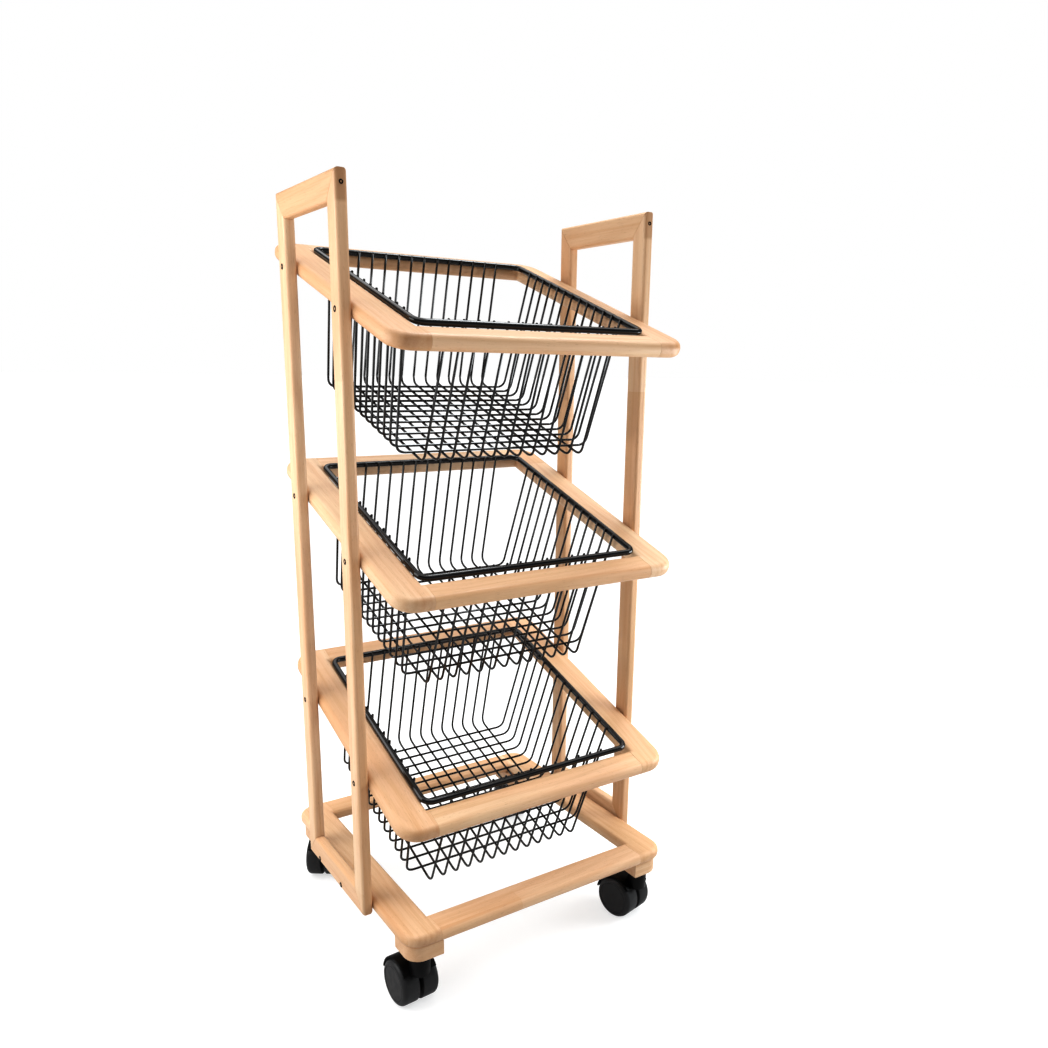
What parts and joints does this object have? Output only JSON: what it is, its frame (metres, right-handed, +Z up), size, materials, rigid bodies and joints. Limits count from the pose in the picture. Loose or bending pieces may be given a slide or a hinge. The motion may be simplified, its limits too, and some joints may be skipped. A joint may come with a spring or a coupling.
{
  "type": "tiered vegetable basket",
  "caption": "Rolling wooden stand with sloping trays between two side frames, each tray holding a lift-out black wire basket, on twin-wheel casters.",
  "frame": {"origin": "on the floor, below the middle of the stand as it is parked, trailing casters included", "axes": "+Z up, -Y towards the low front edge of the trays, +X to the right seen from the front"},
  "size_m": [0.33, 0.3252, 0.745],
  "materials": {
    "wood": "satin lacquer over light warm wood",
    "coated_wire": "semi-gloss black coating",
    "black_screw": "black oxide",
    "black_plastic": "satin black moulding"
  },
  "bodies": {
    "frame": {"left_front_post": "wood", "left_rear_post": "wood", "left_top_rail": "wood", "left_bottom_rail": "wood", "right_front_post": "wood", "right_rear_post": "wood", "right_top_rail": "wood", "right_bottom_rail": "wood", "base_left_rail": "wood", "base_right_rail": "wood", "base_front_rail": "wood", "base_rear_rail": "wood", "top_tray_left_rail": "wood", "top_tray_right_rail": "wood", "top_tray_front_rail": "wood", "top_tray_rear_rail": "wood", "top_left_front_screw": "black_screw", "top_left_rear_screw": "black_screw", "top_right_front_screw": "black_screw", "top_right_rear_screw": "black_screw", "middle_tray_left_rail": "wood", "middle_tray_right_rail": "wood", "middle_tray_front_rail": "wood", "middle_tray_rear_rail": "wood", "middle_left_front_screw": "black_screw", "middle_left_rear_screw": "black_screw", "middle_right_front_screw": "black_screw", "middle_right_rear_screw": "black_screw", "bottom_tray_left_rail": "wood", "bottom_tray_right_rail": "wood", "bottom_tray_front_rail": "wood", "bottom_tray_rear_rail": "wood", "bottom_left_front_screw": "black_screw", "bottom_left_rear_screw": "black_screw", "bottom_right_front_screw": "black_screw", "bottom_right_rear_screw": "black_screw", "front_left_caster_block": "wood", "front_right_caster_block": "wood", "rear_left_caster_block": "wood", "rear_right_caster_block": "wood"},
    "top_basket": {"top_basket_rim": "coated_wire", "top_basket_wires": "coated_wire"},
    "middle_basket": {"middle_basket_rim": "coated_wire", "middle_basket_wires": "coated_wire"},
    "bottom_basket": {"bottom_basket_rim": "coated_wire", "bottom_basket_wires": "coated_wire"},
    "front_left_caster": {"front_left_caster_hood": "black_plastic"},
    "front_left_left_wheel": {"front_left_left_wheel": "black_plastic"},
    "front_left_right_wheel": {"front_left_right_wheel": "black_plastic"},
    "front_right_caster": {"front_right_caster_hood": "black_plastic"},
    "front_right_left_wheel": {"front_right_left_wheel": "black_plastic"},
    "front_right_right_wheel": {"front_right_right_wheel": "black_plastic"},
    "rear_left_caster": {"rear_left_caster_hood": "black_plastic"},
    "rear_left_left_wheel": {"rear_left_left_wheel": "black_plastic"},
    "rear_left_right_wheel": {"rear_left_right_wheel": "black_plastic"},
    "rear_right_caster": {"rear_right_caster_hood": "black_plastic"},
    "rear_right_left_wheel": {"rear_right_left_wheel": "black_plastic"},
    "rear_right_right_wheel": {"rear_right_right_wheel": "black_plastic"}
  },
  "joints": [
    {"name": "top_basket_lift", "type": "slide", "parent": "frame", "child": "top_basket", "axis": [0, -0.3173, 0.9483], "range_m": [0, 0.16]},
    {"name": "middle_basket_lift", "type": "slide", "parent": "frame", "child": "middle_basket", "axis": [0, -0.3173, 0.9483], "range_m": [0, 0.06]},
    {"name": "bottom_basket_lift", "type": "slide", "parent": "frame", "child": "bottom_basket", "axis": [0, -0.3173, 0.9483], "range_m": [0, 0.06]},
    {"name": "front_left_swivel", "type": "hinge", "parent": "frame", "child": "front_left_caster", "pos_m": [-0.1327, -0.14162, 0.061], "axis": [0, 0, 1], "continuous": true},
    {"name": "front_left_left_wheel_spin", "type": "hinge", "parent": "front_left_caster", "child": "front_left_left_wheel", "pos_m": [-0.13364, -0.12365, 0.0223], "axis": [0.9986, 0.0523, 0], "continuous": true},
    {"name": "front_left_right_wheel_spin", "type": "hinge", "parent": "front_left_caster", "child": "front_left_right_wheel", "pos_m": [-0.13364, -0.12365, 0.0223], "axis": [0.9986, 0.0523, 0], "continuous": true},
    {"name": "front_right_swivel", "type": "hinge", "parent": "frame", "child": "front_right_caster", "pos_m": [0.1327, -0.14162, 0.061], "axis": [0, 0, 1], "continuous": true},
    {"name": "front_right_left_wheel_spin", "type": "hinge", "parent": "front_right_caster", "child": "front_right_left_wheel", "pos_m": [0.12896, -0.12402, 0.0223], "axis": [0.9781, 0.2079, 0], "continuous": true},
    {"name": "front_right_right_wheel_spin", "type": "hinge", "parent": "front_right_caster", "child": "front_right_right_wheel", "pos_m": [0.12896, -0.12402, 0.0223], "axis": [0.9781, 0.2079, 0], "continuous": true},
    {"name": "rear_left_swivel", "type": "hinge", "parent": "frame", "child": "rear_left_caster", "pos_m": [-0.1327, 0.11638, 0.061], "axis": [0, 0, 1], "continuous": true},
    {"name": "rear_left_left_wheel_spin", "type": "hinge", "parent": "rear_left_caster", "child": "rear_left_left_wheel", "pos_m": [-0.12238, 0.13112, 0.0223], "axis": [0.8192, -0.5736, 0], "continuous": true},
    {"name": "rear_left_right_wheel_spin", "type": "hinge", "parent": "rear_left_caster", "child": "rear_left_right_wheel", "pos_m": [-0.12238, 0.13112, 0.0223], "axis": [0.8192, -0.5736, 0], "continuous": true},
    {"name": "rear_right_swivel", "type": "hinge", "parent": "frame", "child": "rear_right_caster", "pos_m": [0.1327, 0.11638, 0.061], "axis": [0, 0, 1], "continuous": true},
    {"name": "rear_right_left_wheel_spin", "type": "hinge", "parent": "rear_right_caster", "child": "rear_right_left_wheel", "pos_m": [0.13886, 0.13329, 0.0223], "axis": [0.9397, -0.342, 0], "continuous": true},
    {"name": "rear_right_right_wheel_spin", "type": "hinge", "parent": "rear_right_caster", "child": "rear_right_right_wheel", "pos_m": [0.13886, 0.13329, 0.0223], "axis": [0.9397, -0.342, 0], "continuous": true}
  ]
}
